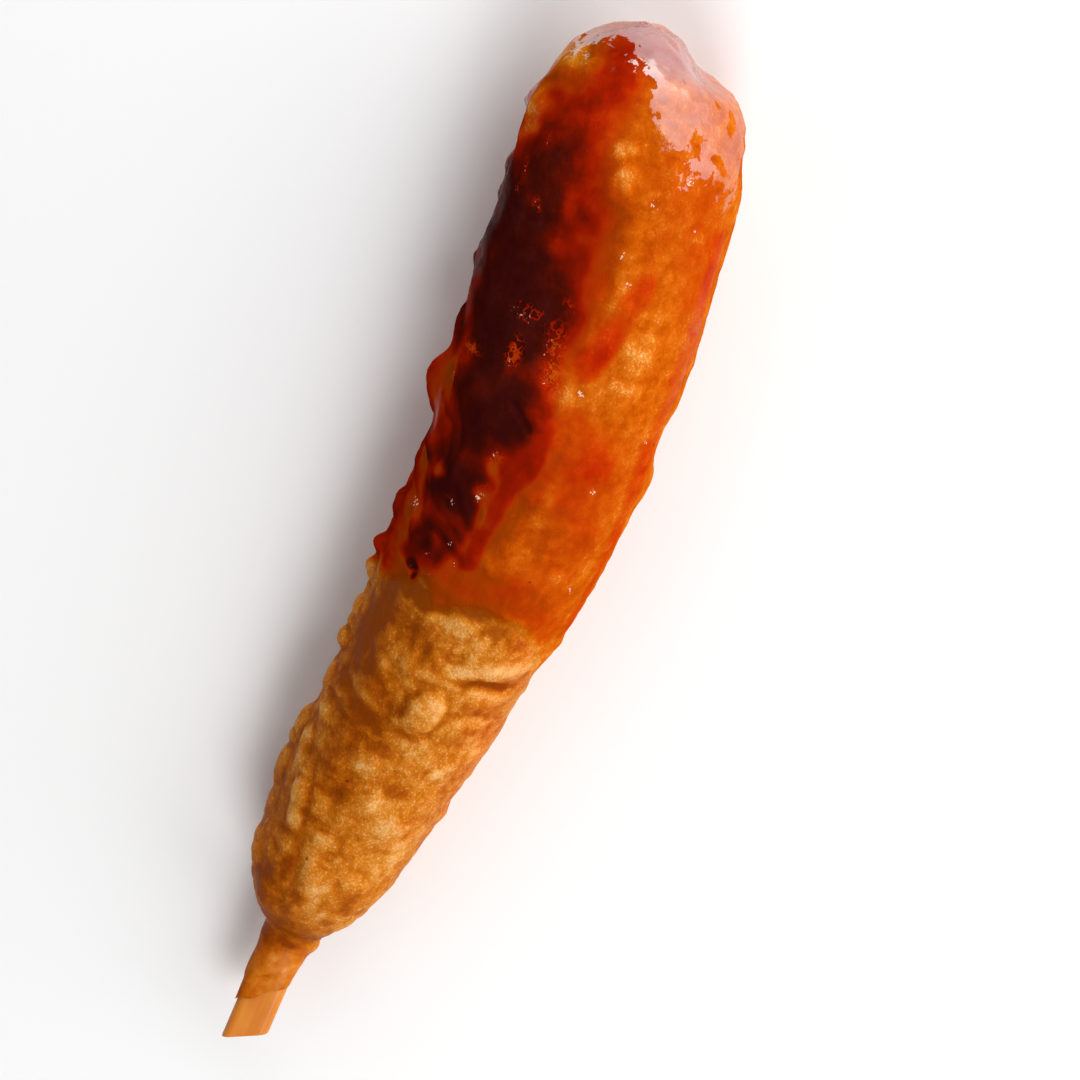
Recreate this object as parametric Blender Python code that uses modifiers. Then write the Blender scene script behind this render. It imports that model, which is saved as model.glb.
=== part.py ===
"""Battered hot dog on a stick, lying on its side.

Units are metres, Z is up and the floor is z = 0.  X runs along the body from
the stick to the rounded head, and the side shown in daylight is the top.

The crust is a turned form (a blunt head, a slow taper to the tail and a narrow
collar round the stick).  Its relief is added in the straight position: named
lumps, ridges and hollows, and three sizes of seeded unevenness.  The straight
form is then bowed along its centre line and levelled where it rests.
The stick is a flat bar with rounded edges and a slanting cut at its outer end.
"""
import bpy
import bmesh
import numpy as np
from math import pi, radians

# ---------------------------------------------------------------- main sizes
BODY_LENGTH = 0.170          # neck to the tip of the head
HEAD_CAP = 0.0235            # length over which the head rounds off
HEAD_BLUNTNESS = 2.0         # 2 is an ellipse, less is more pointed
TAIL_CAP = 0.019             # length over which the tail rounds off
COLLAR_LENGTH = 0.012        # crust running out along the stick
COLLAR_RADIUS = 0.0046
COLLAR_FLATNESS = 0.71       # height of the collar over its width
COLLAR_SLANT = 0.80          # the collar ends on a slant, longer at the left
SLANT_START = -0.001         # the slant grows from here to the collar's end
FLATTENED_FROM = 0.004       # the collar's flatness grows from here
FLATTENED_OVER = 0.009
FLAT_SPOT_DEPTH = 0.0007     # how far the crust is levelled where it rests

# distance from the neck, radius of the body there (before the caps)
RADII = ((0.000, 0.0124), (0.015, 0.0128), (0.032, 0.0139),
         (0.052, 0.0152), (0.075, 0.0169), (0.100, 0.0183),
         (0.122, 0.0189), (0.142, 0.0187), (0.170, 0.0190))

# distance from the neck, sideways place of the centre line
BOW = ((-0.030, 0.0134), (0.000, 0.0132), (0.030, 0.0114),
       (0.060, 0.0083), (0.090, 0.0066), (0.120, 0.0080),
       (0.145, 0.0108), (0.170, 0.0170))

NECK_X = -0.0734             # the neck's place in the model's frame
BOW_Y = -0.0090              # sets the model's middle at y = 0

# ------------------------------------------------------------------- stick
STICK_WIDTH = 0.0073
STICK_THICKNESS = 0.0044
STICK_ROUNDING = 0.0013
STICK_OUT = 0.0214           # neck to the middle of the cut end
STICK_IN = 0.040             # length held inside the crust
STICK_CUT_SLANT = 0.56       # the cut end, longer at the left
STICK_Y = 0.0133             # sideways place, as in BOW
SOCKET_GAP = 0.0003
SOCKET_OVERRUN = 0.010       # how far the socket's cutter runs out of the crust

# --------------------------------------------------------------- mesh sizes
TURNS = 72
COLLAR_ROWS = 6
BODY_ROWS = 62
HEAD_ROWS = 9

# ------------------------------------------------------------------ relief
# size of the lumps, height either way, seed
UNEVEN = ((0.0150, 0.00045, 3),)                            # broad and even
PUFFS = ((0.0078, 0.00034, 7), (0.0046, 0.00018, 11))       # rounded, creased
SMOOTH_SIDE = -78.0          # turn at which the crust is smoothest
SMOOTH_SHARE = 0.55          # share of the relief missing there
UNDER_FROM = 0.55            # minus the cosine of the turn where the underside
UNDER_OVER = 0.35            # starts to be smoother, and over how much of it
UNDER_SHARE = 0.8            # share of the relief missing underneath
COLLAR_FADE_FROM = -0.009    # the relief grows from here along the collar
COLLAR_FADE_OVER = 0.010
TIP_FADE = 0.004             # last stretch of the head, with less relief
TIP_SHARE = 0.4              # share of the relief left at the tip
NOISE_TABLE = 24
NOISE_SHIFT = 0.5            # keeps all places on the lattice's positive side

# Lumps (height above zero) and hollows (below zero):
# along mm, turn deg, half length mm, half width mm, height mm, lean deg, edge
# A turn of 0 is the top and 90 the left side.  Edge 2 is a soft rise, 4 a
# flat top with a steep rim.
LUMPS = (
    # knobs seen on the left outline, from the head to the tail
    (105.0, 84, 6.8, 6.0, 2.4, 0, 2), (115.6, 84, 3.8, 4.5, 0.8, 0, 2),
    (121.6, 84, 3.4, 4.5, -0.8, 0, 2), (127.8, 86, 3.4, 4.5, 0.7, 0, 2),
    (133.4, 86, 4.4, 4.5, -1.1, 0, 2), (144.8, 86, 3.4, 4.5, 0.8, 0, 2),
    (96.4, 82, 4.2, 6.0, -3.8, 0, 2), (91.5, 83, 3.6, 4.5, 0.1, 0, 3),
    (86.1, 84, 4.4, 5.5, -3.3, 0, 2), (81.4, 85, 3.2, 4.5, 1.0, 0, 3),
    (76.0, 84, 2.4, 4.2, -1.7, 0, 2), (72.8, 84, 2.2, 4.5, 1.4, 0, 2),
    (69.9, 84, 1.5, 4.2, -0.7, 0, 2), (68.3, 82, 2.8, 4.5, 1.2, 0, 3),
    (65.0, 84, 2.6, 4.6, -3.2, 0, 2), (61.6, 78, 3.0, 3.4, 0.8, 0, 3),
    (54.8, 79, 2.8, 3.4, 1.4, 0, 3), (7.6, 86, 3.0, 4.0, 0.6, 0, 2),
    (58.2, 80, 2.0, 3.4, 0.9, 0, 2), (33.2, 86, 1.8, 4.0, 0.8, 0, 2),
    (25.2, 82, 1.8, 3.6, 0.4, 0, 2), (155.4, 92, 1.8, 4.0, 0.4, 0, 2),
    (51.5, 84, 2.8, 4.0, -0.8, 0, 2), (47.6, 74, 3.2, 3.6, 0.5, 0, 3),
    (43.0, 84, 2.8, 4.0, -0.9, 0, 2), (36.4, 86, 4.6, 4.4, 1.6, 0, 3),
    (28.8, 86, 4.8, 4.5, 1.4, 0, 3), (22.0, 80, 4.0, 4.0, 0.4, 0, 3),
    (13.4, 70, 5.0, 4.5, 0.7, 0, 3),
    # lumps, folds and creases on the bare crust of the shown side
    (54.4, -8, 5.4, 3.6, 1.5, -8, 4), (50.6, 3, 2.2, 2.0, 0.5, 0, 2),
    (60.5, 13, 5.6, 3.0, 0.55, 41, 2), (68.0, -32, 6.0, 9.0, 0.45, 20, 2),
    (65.9, -40, 2.5, 8.4, 0.50, 20, 2), (62.7, -36, 1.7, 8.0, -0.55, 9, 2),
    (59.4, -38, 2.8, 6.2, 0.45, 14, 2), (56.2, -38, 1.5, 6.0, -0.35, 10, 2),
    (53.0, -37, 2.6, 5.6, 0.40, 10, 2), (71.8, -4, 2.4, 4.6, 0.45, 15, 2),
    (66.0, -8, 2.8, 3.4, -0.40, 0, 2), (28.0, 41, 8.6, 3.0, 1.0, 12, 2),
    (21.0, 11, 6.0, 2.6, 0.55, 6, 2), (52.4, 31, 2.8, 4.6, 0.6, 0, 3),
    (60.5, 33, 4.4, 3.6, 0.5, 0, 3), (36.6, 62, 3.2, 2.6, 0.6, 0, 3),
    (32.2, 56, 3.0, 2.4, 0.5, 0, 3), (24.4, 6, 3.0, 3.0, 0.3, 0, 2),
    (31.9, -32, 4.6, 3.8, 0.6, -20, 2),
    (41.0, 7, 3.4, 4.0, 0.6, 0, 2), (44.6, -40, 2.8, 2.6, 0.5, 0, 2),
    (42.6, 55, 3.4, 3.0, 0.6, 0, 2), (48.9, 52, 3.6, 3.0, 0.5, 30, 2),
    (35.0, -8, 4.0, 3.0, 0.4, 20, 2), (16.0, 3, 4.4, 3.0, 0.6, 0, 2),
    (18.0, -28, 4.0, 3.2, 0.5, 15, 2), (9.0, 36, 3.6, 3.0, 0.5, 0, 2),
    (38.5, -18, 2.4, 4.2, -0.3, 30, 2), (47.4, 24, 2.0, 5.0, -0.3, -10, 2),
    (33.0, 20, 3.0, 3.6, -0.5, 0, 2),
    # crests that stand close under the glaze
    (151.0, -1, 5.0, 3.6, 0.8, 0, 2), (146.5, -3, 3.4, 3.2, 0.6, 0, 2),
    (139.0, -13, 8.0, 3.6, 0.6, 6, 2), (131.0, -16, 3.4, 3.2, 0.6, 0, 2),
    (122.0, -34, 8.6, 4.6, 0.7, -6, 2), (97.0, -17, 8.0, 4.6, 0.5, 0, 2),
    (163.4, 54, 3.6, 3.4, 0.7, 0, 2), (157.0, 58, 3.4, 3.2, 0.7, 0, 2),
    (122.8, 26, 3.6, 5.6, 0.7, 30, 2), (117.0, 12, 4.2, 3.2, 0.6, 20, 2),
    (110.0, 40, 4.0, 4.2, 0.6, 20, 2), (95.5, 38, 5.0, 3.6, 0.7, -15, 2),
    (88.0, 32, 4.0, 3.6, 0.6, 0, 2), (75.6, 36, 1.6, 1.6, -1.1, 0, 2),
    (83.0, 56, 3.4, 3.6, 0.7, 0, 2), (96.0, 62, 3.4, 3.2, 0.6, 0, 2),
    # the smooth right side and the blunt, slanting head
    (101.0, -92, 4.6, 7.0, 0.5, 0, 2), (108.4, -92, 6.4, 7.0, -1.9, 0, 2),
    (124.6, -92, 3.6, 7.0, -0.5, 0, 2), (137.0, -92, 12.0, 7.0, -0.5, 0, 3),
    (66.0, -92, 6.0, 7.0, -1.5, 0, 2), (59.0, -92, 6.0, 7.0, -0.7, 0, 2),
    (20.0, -92, 5.0, 7.0, -0.5, 0, 2), (6.0, -90, 5.6, 7.0, -1.8, 0, 2),
    (-1.0, -90, 4.4, 5.0, 1.3, 0, 2), (-5.0, 90, 3.4, 4.0, -1.0, 0, 2),
    (12.0, -86, 8.0, 7.0, -0.8, 0, 2), (34.0, -92, 3.4, 7.0, 0.5, 0, 2),
    (150.0, 88, 10.0, 10.0, -1.0, 0, 2), (166.0, -92, 6.4, 15.0, -3.2, 0, 2),
    (161.6, 95, 4.4, 7.0, -1.2, 0, 2),
    (153.2, 88, 2.8, 5.0, -1.0, 0, 2), (151.0, -92, 6.0, 8.0, -0.8, 0, 2),
)


def smooth_step(value):
    """Rise from 0 to 1 with level ends, for a value from 0 to 1."""
    value = np.clip(value, 0.0, 1.0)
    return value * value * (3.0 - 2.0 * value)


def through(along, stations):
    """Smooth curve through stations of (distance, size)."""
    places, sizes = np.array(stations).T
    slopes = np.gradient(sizes, places)
    i = np.clip(np.searchsorted(places, along) - 1, 0, len(places) - 2)
    gap = places[i + 1] - places[i]
    s = np.clip((along - places[i]) / gap, 0.0, 1.0)
    start = sizes[i] * (1 + 2 * s) * (1 - s) ** 2 + slopes[i] * gap * s * (1 - s) ** 2
    end = sizes[i + 1] * s * s * (3 - 2 * s) + slopes[i + 1] * gap * s * s * (s - 1)
    return start + end


def body_radius(along):
    """Radius of the plain turned form: body, both caps and the collar."""
    head = np.clip((along - BODY_LENGTH + HEAD_CAP) / HEAD_CAP, 0.0, 1.0)
    tail = np.clip((TAIL_CAP - along) / TAIL_CAP, 0.0, 1.0)
    body = through(np.clip(along, 0.0, BODY_LENGTH), RADII)
    body = body * (1 - head ** 2) ** (1 / HEAD_BLUNTNESS) * np.sqrt(1 - tail ** 2)
    collar = np.where(along < BODY_LENGTH / 2, COLLAR_RADIUS, 0.0)
    return (body ** 6 + collar ** 6) ** (1 / 6)


def centre_line(along):
    """Middle of the body in the model's frame."""
    lift = through(np.clip(along, 0.0, BODY_LENGTH), RADII) - FLAT_SPOT_DEPTH
    return np.stack([along + NECK_X, through(along, BOW) + BOW_Y, lift], axis=-1)


def bowed(straight):
    """Carry points (along, left, up) from the straight form to the bowed one."""
    along, step = straight[:, 0], 0.0001
    run = centre_line(along + step) - centre_line(along - step)
    run[:, 2] = 0.0
    run /= np.linalg.norm(run, axis=1, keepdims=True)
    left = np.stack([-run[:, 1], run[:, 0], np.zeros(len(run))], axis=1)
    points = centre_line(along) + left * straight[:, 1:2]
    points[:, 2] += straight[:, 2]
    return points


def unevenness(points, cell, seed):
    """Seeded smooth noise from -1 to 1 on points in space."""
    table = np.random.default_rng(seed).random((NOISE_TABLE,) * 3)
    place = points / cell
    low = np.floor(place).astype(int)
    t = smooth_step(place - low)
    value = np.zeros(len(points))
    for corner in range(8):
        step = np.array([corner & 1, corner >> 1 & 1, corner >> 2 & 1])
        i, j, k = ((low + step) % NOISE_TABLE).T
        share = np.where(step == 1, t, 1.0 - t).prod(axis=1)
        value += share * table[i, j, k]
    return value * 2.0 - 1.0


def puffs(points, cell, seed):
    """Rounded lumps with creases between them: the size of the noise whatever
    its sign, evened at the creases, about a mean of nothing."""
    return 2.5 * np.sqrt(unevenness(points, cell, seed) ** 2 + 0.01) - 0.75


def lump(along, turn, row):
    """One lump of the table above, at each place of the crust."""
    at, angle, length, width, height, lean, edge = row
    radius = body_radius(np.array([at * 0.001]))[0]
    ahead = along - at * 0.001
    around = (np.mod(turn - radians(angle) + pi, 2 * pi) - pi) * radius
    c, s = np.cos(radians(lean)), np.sin(radians(lean))
    u = (ahead * c + around * s) / (length * 0.001)
    v = (around * c - ahead * s) / (width * 0.001)
    reach = np.clip(np.hypot(u, v), 0.0, 1.0)
    return height * 0.001 * (1.0 - reach ** edge) ** 2


def relief(straight):
    """Height of the crust over the plain turned form."""
    along = straight[:, 0]
    turn = np.arctan2(straight[:, 1], straight[:, 2])
    rough = sum(high * unevenness(straight + NOISE_SHIFT, cell, seed)
                for cell, high, seed in UNEVEN)
    rough += sum(high * puffs(straight + NOISE_SHIFT, cell, seed)
                 for cell, high, seed in PUFFS)
    facing = 0.5 + 0.5 * np.cos(turn - radians(SMOOTH_SIDE))
    rough = rough * (1.0 - SMOOTH_SHARE * smooth_step(facing))
    under = smooth_step((-np.cos(turn) - UNDER_FROM) / UNDER_OVER)
    total = rough * (1.0 - UNDER_SHARE * under)
    for row in LUMPS:
        total += lump(along, turn, row)
    collar = smooth_step((along - COLLAR_FADE_FROM) / COLLAR_FADE_OVER)
    tip = smooth_step((BODY_LENGTH - along) / TIP_FADE)
    return total * collar * (TIP_SHARE + (1.0 - TIP_SHARE) * tip)


# ------------------------------------------------------------ scene helpers
def collection(name):
    """New collection in the scene."""
    made = bpy.data.collections.new(name)
    bpy.context.scene.collection.children.link(made)
    return made


def material(name, colour, roughness):
    """Plain Principled material."""
    made = bpy.data.materials.new(name)
    made.use_nodes = True
    shader = made.node_tree.nodes["Principled BSDF"]
    shader.inputs["Base Color"].default_value = (*colour, 1.0)
    shader.inputs["Roughness"].default_value = roughness
    return made


def add_object(name, mesh, group, surface=None):
    """Object for a mesh, in a collection."""
    made = bpy.data.objects.new(name, mesh)
    group.objects.link(made)
    if surface is not None:
        mesh.materials.append(surface)
    return made


def finished_mesh(obj):
    """Mesh of an object with its modifiers worked in."""
    graph = bpy.context.evaluated_depsgraph_get()
    return bpy.data.meshes.new_from_object(obj.evaluated_get(graph))


def turned_form(group):
    """Outline of the crust, turned round Z with the head at the top."""
    head = BODY_LENGTH - HEAD_CAP * (1 - np.sin(np.linspace(0, pi / 2, HEAD_ROWS + 1)))
    body = np.linspace(0.0, BODY_LENGTH - HEAD_CAP, BODY_ROWS + 1)[:-1]
    collar = np.linspace(-COLLAR_LENGTH, 0.0, COLLAR_ROWS + 1)[:-1]
    along = np.concatenate([collar, body, head])[::-1]
    radius = body_radius(along)
    outline = bmesh.new()
    points = [(0.0, BODY_LENGTH)] + list(zip(radius[1:], along[1:]))
    points.append((0.0, -COLLAR_LENGTH))
    dots = [outline.verts.new((r, 0.0, a)) for r, a in points]
    for first, second in zip(dots, dots[1:]):
        outline.edges.new((first, second))
    mesh = bpy.data.meshes.new("outline")
    outline.to_mesh(mesh)
    outline.free()
    obj = add_object("outline", mesh, group)
    turn = obj.modifiers.new("turn", "SCREW")
    turn.axis = "Z"
    turn.steps = TURNS
    turn.render_steps = TURNS
    turn.use_merge_vertices = True
    turn.merge_threshold = 0.00001
    turn.use_smooth_shade = True
    mesh = finished_mesh(obj)
    bpy.data.objects.remove(obj)
    return mesh


def shape_crust(mesh):
    """Relief, flat collar, slanting collar end, bow and flat spot."""
    count = len(mesh.vertices)
    places, normals = np.empty(count * 3), np.empty(count * 3)
    mesh.vertices.foreach_get("co", places)
    mesh.vertices.foreach_get("normal", normals)
    turned = np.array([[0, 0, 1], [0, -1, 0], [1, 0, 0]])
    straight = places.reshape(-1, 3) @ turned.T
    outward = normals.reshape(-1, 3) @ turned.T
    straight = straight + outward * relief(straight)[:, None]
    low = smooth_step((FLATTENED_FROM - straight[:, 0]) / FLATTENED_OVER)
    straight[:, 2] *= 1.0 - (1.0 - COLLAR_FLATNESS) * low
    end = (SLANT_START - straight[:, 0]) / (COLLAR_LENGTH + SLANT_START)
    end = np.clip(end, 0.0, 1.0)
    straight[:, 0] -= COLLAR_SLANT * straight[:, 1] * end
    points = bowed(straight)
    points[:, 2] = np.maximum(points[:, 2], 0.0)
    mesh.vertices.foreach_set("co", points.ravel())
    mesh.update()


def bar(name, width, thickness, rounding, start, stop, slant, group):
    """Flat bar along X with rounded long edges; its low-X end may slant."""
    shape = bmesh.new()
    bmesh.ops.create_cube(shape, size=1.0)
    for dot in shape.verts:
        left = dot.co.y * width
        at_start = dot.co.x < 0
        x = (start - slant * left) if at_start else stop
        dot.co = (x + NECK_X, left + STICK_Y + BOW_Y, dot.co.z * thickness)
    lift = RADII[0][1] - FLAT_SPOT_DEPTH
    for dot in shape.verts:
        dot.co.z += lift
    long_edges = [e for e in shape.edges
                  if abs(e.verts[0].co.x - e.verts[1].co.x) > 0.5 * (stop - start)]
    bmesh.ops.bevel(shape, geom=long_edges, offset=rounding, segments=4,
                    profile=0.5, affect="EDGES")
    bmesh.ops.recalc_face_normals(shape, faces=shape.faces)
    mesh = bpy.data.meshes.new(name)
    shape.to_mesh(mesh)
    shape.free()
    return add_object(name, mesh, group)


def build():
    """The two pieces and the socket cutter."""
    for obj in list(bpy.data.objects):
        bpy.data.objects.remove(obj)
    pieces = collection("battered_hot_dog")
    cutters = collection("cutters")

    crust_mesh = turned_form(pieces)
    shape_crust(crust_mesh)
    crust_mesh.name = "batter"
    crust = add_object("batter", crust_mesh, pieces,
                       material("crust", (0.56, 0.27, 0.07), 0.55))

    socket = bar("socket", STICK_WIDTH + 2 * SOCKET_GAP,
                 STICK_THICKNESS + 2 * SOCKET_GAP, STICK_ROUNDING + SOCKET_GAP,
                 -COLLAR_LENGTH - SOCKET_OVERRUN, STICK_IN + SOCKET_GAP, 0.0,
                 cutters)
    socket.hide_render = True
    socket.display_type = "WIRE"
    cut = crust.modifiers.new("socket", "BOOLEAN")
    cut.operation = "DIFFERENCE"
    cut.solver = "EXACT"
    cut.object = socket

    stick = bar("stick", STICK_WIDTH, STICK_THICKNESS, STICK_ROUNDING,
                -STICK_OUT, STICK_IN, STICK_CUT_SLANT, pieces)
    stick.data.materials.append(material("wood", (0.68, 0.36, 0.14), 0.5))
    for polygon in stick.data.polygons:
        polygon.use_smooth = len(polygon.vertices) == 4


build()
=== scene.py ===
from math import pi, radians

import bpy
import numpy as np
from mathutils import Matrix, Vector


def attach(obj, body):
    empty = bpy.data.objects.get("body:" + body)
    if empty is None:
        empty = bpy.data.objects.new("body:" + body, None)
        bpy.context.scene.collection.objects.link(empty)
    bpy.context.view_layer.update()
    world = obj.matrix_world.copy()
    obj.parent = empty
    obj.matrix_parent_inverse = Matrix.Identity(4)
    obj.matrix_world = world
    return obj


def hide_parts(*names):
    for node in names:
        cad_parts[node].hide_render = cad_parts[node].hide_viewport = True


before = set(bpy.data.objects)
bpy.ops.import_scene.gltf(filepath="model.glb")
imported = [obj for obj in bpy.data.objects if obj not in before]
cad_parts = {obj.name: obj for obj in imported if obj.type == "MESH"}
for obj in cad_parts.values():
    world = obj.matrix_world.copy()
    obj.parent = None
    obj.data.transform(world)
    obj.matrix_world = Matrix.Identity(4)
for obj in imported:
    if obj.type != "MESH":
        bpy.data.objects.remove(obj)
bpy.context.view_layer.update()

# Battered hot dog on a stick, lying on its side.  Metres, +Z up, X from the
# stick to the sauced head.  Every piece is worked out straight (distance along
# the body, turn round it, height over it) and then bowed with the body.  A turn
# of 0 is the top and 90 the left side.

MM = 0.001

# ---------- main sizes
BODY_LENGTH = 0.170
HEAD_CAP = 0.0235
HEAD_BLUNTNESS = 2.0
TAIL_CAP = 0.019
COLLAR_LENGTH = 0.012
COLLAR_RADIUS = 0.0046
COLLAR_FLATNESS = 0.71
COLLAR_SLANT = 0.80
COLLAR_END_WIDTH = 0.86  # its ragged end, as shares of the plain form
COLLAR_END_HEIGHT = 0.80
JOIN_POWER = 6  # how sharply the collar meets the body
FLAT_SPOT_DEPTH = 0.0007

RADII = ((0.000, 0.0124), (0.015, 0.0128), (0.032, 0.0139),
         (0.052, 0.0152), (0.075, 0.0169), (0.100, 0.0183),
         (0.122, 0.0189), (0.142, 0.0187), (0.170, 0.0190))
BOW = ((-0.030, 0.0134), (0.000, 0.0132), (0.030, 0.0114),
       (0.060, 0.0083), (0.090, 0.0066), (0.120, 0.0080),
       (0.145, 0.0108), (0.170, 0.0170))
NECK_X = -0.0734
BOW_Y = -0.0090

# ---------- crust
# Seeded noises, layer by layer: size of the lumps, height either way, seed
UNEVEN = ((0.0150, 0.00045, 3),)  # broad and even
PUFFS = ((0.0078, 0.00034, 7), (0.0046, 0.00018, 11))  # rounded, creased
FINE = ((0.0030, 0.00012, 17), (0.0015, 0.00006, 19))  # rounded, small
COLLAR_WAVER = ((0.0028, 0.0020, 83),)  # of its ragged end
TONE_SWAY = ((0.0036, 0.0011, 43), (0.0017, 0.0006, 47))  # of the patches
BLUSH_CLOUDS = ((0.0060, 0.6, 53),)  # of the red on the right
NOISE_TABLE = 24

SMOOTH_SIDE = -78.0
SMOOTH_SHARE = 0.55  # how much less relief the smooth side has
UNDERSIDE_SHARE = 0.8  # and the underside
TIP_SHARE = 0.4  # what is left of the relief at the tip
FINE_ON_COLLAR = 0.35  # what is left of the fine lumps on the collar
RAISED = 0.5 * MM  # the height that counts as raised by 1
SURROUNDINGS = 24  # passes that even out a place's surroundings
NECK_AMBER = 0.24  # darker tone at the neck, and painted shade on the left side
LEFT_PAINTED_SHADE = 0.16
SWAY_RADIUS = 0.025  # what turns a sway into a change of turn
SUNK = 0.25 * MM  # how far the crust sinks under the sauce
BARE_END = 0.083  # the rows stand closer up to here
OFF_FLOOR = 0.05 * MM  # how far the crust stays over the floor
RIGHT_BLUSH = 0.10  # depth of colour, mm, of the right side's red,
HEM_STAIN = 0.02  # of the stain past the hem
OILY_STAIN = 0.06  # and of the oily collar
BLUSH_MEAN = 0.6  # middle strength of the red's clouds

# Distances along between which something grows from none to all
RELIEF_STARTS = (-0.009, 0.001)
FINE_STARTS = (-0.006, 0.006)
COLLAR_FLATTENS = (0.004, -0.005)
COLLAR_CLOSES = (-0.004, -0.012)
SLANT_START = -0.001
OILY_STARTS = (0.003, -0.003)
NECK_DARKENS = (0.009, -0.005)
BLUSH_STARTS = (0.024, 0.036)
MIRROR_GROWS = (0.1595, 0.1660)  # from the head's side to its tip
RELIEF_ENDS = (0.0, 0.004)  # counted back from the tip
FILM_STARTS = (-0.0015, 0.0015)  # these three are counted from the hem
RUNS_START = (0.0, 0.004)
CRUST_SINKS = (0.004, 0.009)

# A named spot, here and below: distance along in mm, turn in degrees, half
# length and half width in mm, an amount and, where they aren't these two, its
# lean in degrees and its edge (the more, the steeper).
SPOT_ENDING = (0, 2)

# amount: height in mm
LUMPS = (
    # knobs seen on the left outline, from the head to the tail
    (105, 84, 6.8, 6, 2.4), (115.6, 84, 3.8, 4.5, 0.8), (121.6, 84, 3.4, 4.5, -0.8),
    (127.8, 86, 3.4, 4.5, 0.7), (133.4, 86, 4.4, 4.5, -1.1), (144.8, 86, 3.4, 4.5, 0.8),
    (96.4, 82, 4.2, 6, -3.8), (91.5, 83, 3.6, 4.5, 0.1, 0, 3), (86.1, 84, 4.4, 5.5, -3.3),
    (81.4, 85, 3.2, 4.5, 1, 0, 3), (76, 84, 2.4, 4.2, -1.7), (72.8, 84, 2.2, 4.5, 1.4),
    (69.9, 84, 1.5, 4.2, -0.7), (68.3, 82, 2.8, 4.5, 1.2, 0, 3), (65, 84, 2.6, 4.6, -3.2),
    (61.6, 78, 3, 3.4, 0.8, 0, 3), (54.8, 79, 2.8, 3.4, 1.4, 0, 3), (7.6, 86, 3, 4, 0.6),
    (58.2, 80, 2, 3.4, 0.9), (33.2, 86, 1.8, 4, 0.8), (25.2, 82, 1.8, 3.6, 0.4),
    (155.4, 92, 1.8, 4, 0.4), (51.5, 84, 2.8, 4, -0.8), (47.6, 74, 3.2, 3.6, 0.5, 0, 3),
    (43, 84, 2.8, 4, -0.9), (36.4, 86, 4.6, 4.4, 1.6, 0, 3), (28.8, 86, 4.8, 4.5, 1.4, 0, 3),
    (22, 80, 4, 4, 0.4, 0, 3), (13.4, 70, 5, 4.5, 0.7, 0, 3),
    # lumps, folds and creases on the bare crust of the shown side
    (54.4, -8, 5.4, 3.6, 1.5, -8, 4), (50.6, 3, 2.2, 2, 0.5), (60.5, 13, 5.6, 3, 0.55, 41),
    (68, -32, 6, 9, 0.45, 20), (65.9, -40, 2.5, 8.4, 0.5, 20), (62.7, -36, 1.7, 8, -0.55, 9),
    (59.4, -38, 2.8, 6.2, 0.45, 14), (56.2, -38, 1.5, 6, -0.35, 10), (53, -37, 2.6, 5.6, 0.4, 10),
    (71.8, -4, 2.4, 4.6, 0.45, 15), (66, -8, 2.8, 3.4, -0.4), (28, 41, 8.6, 3, 1, 12),
    (21, 11, 6, 2.6, 0.55, 6), (52.4, 31, 2.8, 4.6, 0.6, 0, 3), (60.5, 33, 4.4, 3.6, 0.5, 0, 3),
    (36.6, 62, 3.2, 2.6, 0.6, 0, 3), (32.2, 56, 3, 2.4, 0.5, 0, 3), (24.4, 6, 3, 3, 0.3),
    (31.9, -32, 4.6, 3.8, 0.6, -20), (41, 7, 3.4, 4, 0.6), (44.6, -40, 2.8, 2.6, 0.5),
    (42.6, 55, 3.4, 3, 0.6), (48.9, 52, 3.6, 3, 0.5, 30), (35, -8, 4, 3, 0.4, 20),
    (16, 3, 4.4, 3, 0.6), (18, -28, 4, 3.2, 0.5, 15), (9, 36, 3.6, 3, 0.5),
    (38.5, -18, 2.4, 4.2, -0.3, 30), (47.4, 24, 2, 5, -0.3, -10), (33, 20, 3, 3.6, -0.5),
    # crests that stand close under the glaze
    (151, -1, 5, 3.6, 0.8), (146.5, -3, 3.4, 3.2, 0.6), (139, -13, 8, 3.6, 0.6, 6),
    (131, -16, 3.4, 3.2, 0.6), (122, -34, 8.6, 4.6, 0.7, -6), (97, -17, 8, 4.6, 0.5),
    (163.4, 54, 3.6, 3.4, 0.7), (157, 58, 3.4, 3.2, 0.7), (122.8, 26, 3.6, 5.6, 0.7, 30),
    (117, 12, 4.2, 3.2, 0.6, 20), (110, 40, 4, 4.2, 0.6, 20), (95.5, 38, 5, 3.6, 0.7, -15),
    (88, 32, 4, 3.6, 0.6), (75.6, 36, 1.6, 1.6, -1.1), (83, 56, 3.4, 3.6, 0.7),
    (96, 62, 3.4, 3.2, 0.6),
    # the smooth right side and the blunt, slanting head
    (101, -92, 4.6, 7, 0.5), (108.4, -92, 6.4, 7, -1.9), (124.6, -92, 3.6, 7, -0.5),
    (137, -92, 12, 7, -0.5, 0, 3), (66, -92, 6, 7, -1.5), (59, -92, 6, 7, -0.7),
    (20, -92, 5, 7, -0.5), (6, -90, 5.6, 7, -1.8), (-1, -90, 4.4, 5, 1.3), (-5, 90, 3.4, 4, -1),
    (12, -86, 8, 7, -0.8), (34, -92, 3.4, 7, 0.5), (150, 88, 10, 10, -1),
    (166, -92, 6.4, 15, -3.2), (161.6, 95, 4.4, 7, -1.2), (153.2, 88, 2.8, 5, -1),
    (151, -92, 6, 8, -0.8),
)

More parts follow.
